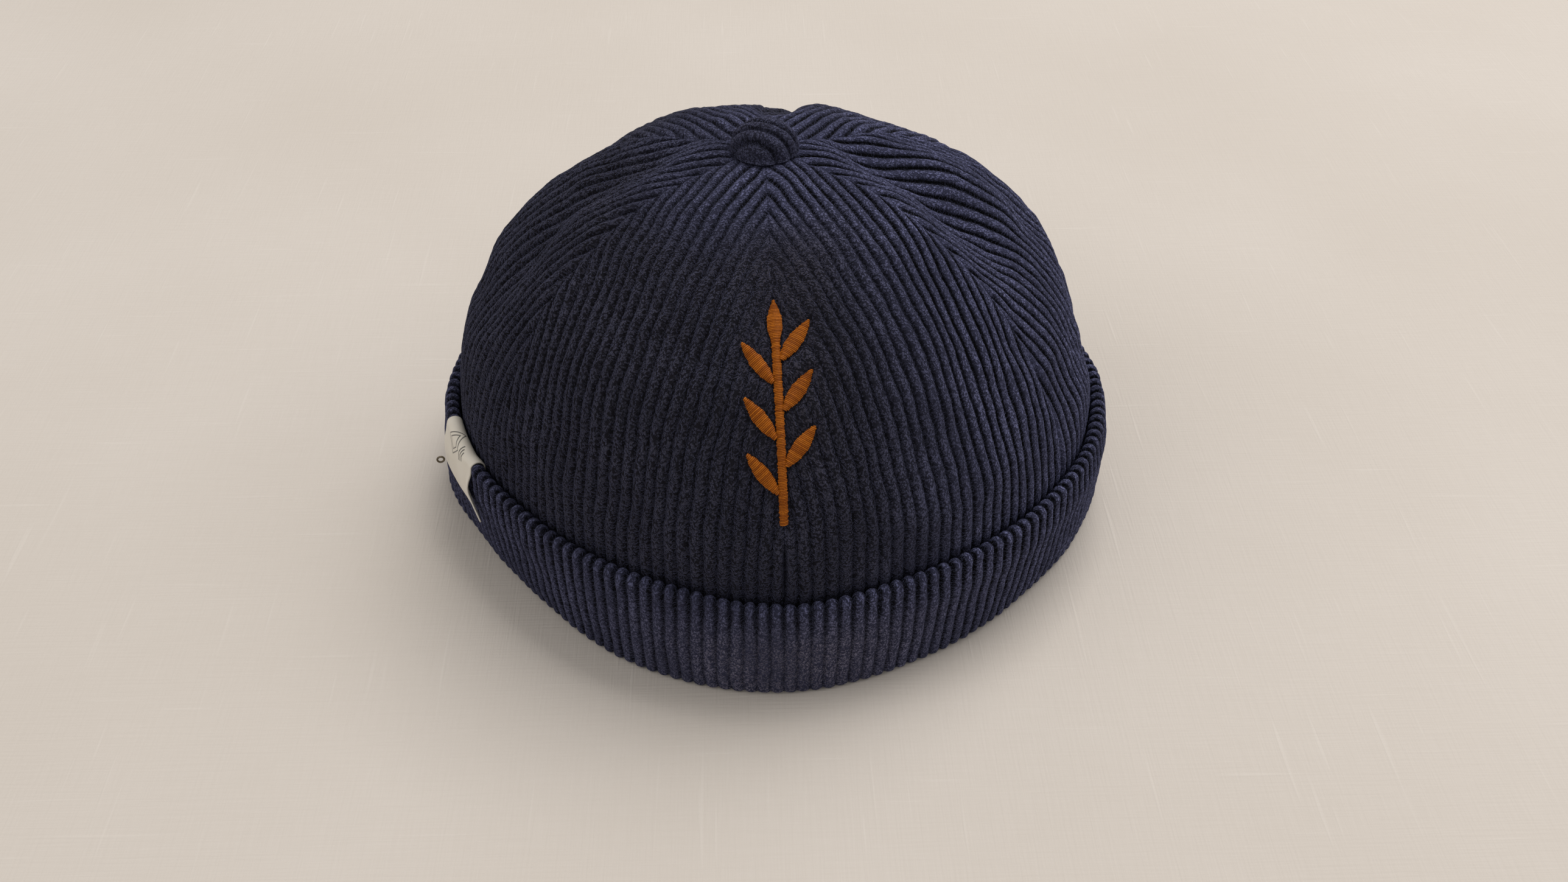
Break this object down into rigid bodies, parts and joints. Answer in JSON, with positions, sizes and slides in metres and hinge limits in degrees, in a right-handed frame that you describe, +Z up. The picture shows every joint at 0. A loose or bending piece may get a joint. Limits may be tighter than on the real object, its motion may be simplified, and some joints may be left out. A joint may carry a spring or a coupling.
{
  "type": "corduroy docker cap",
  "caption": "Brimless corduroy cap with a domed crown of sewn panels, a turned-up cuff, a covered button on top, a ribbon label on the cuff and raised embroidery on the front seam.",
  "frame": {"origin": "on the surface that the cap stands on, under the middle of its bounding box", "axes": "+Z up through the button, -Y towards the front seam with the embroidery, +X to the right as seen from the front"},
  "size_m": [0.2037, 0.1913, 0.1206],
  "materials": {
    "corduroy": "navy cotton corduroy, wide ribs with a short matt pile",
    "label_ribbon": "cream satin ribbon",
    "loop_metal": "dark bronzed wire",
    "embroidery_thread": "rust satin stitch"
  },
  "bodies": {
    "root": {"panel_front_right": "corduroy", "panel_side_right": "corduroy", "panel_back_right": "corduroy", "panel_back_left": "corduroy", "panel_side_left": "corduroy", "panel_front_left": "corduroy", "cuff": "corduroy", "button": "corduroy", "label": "label_ribbon", "label_pin": "loop_metal", "embroidery": "embroidery_thread"}
  },
  "joints": []
}
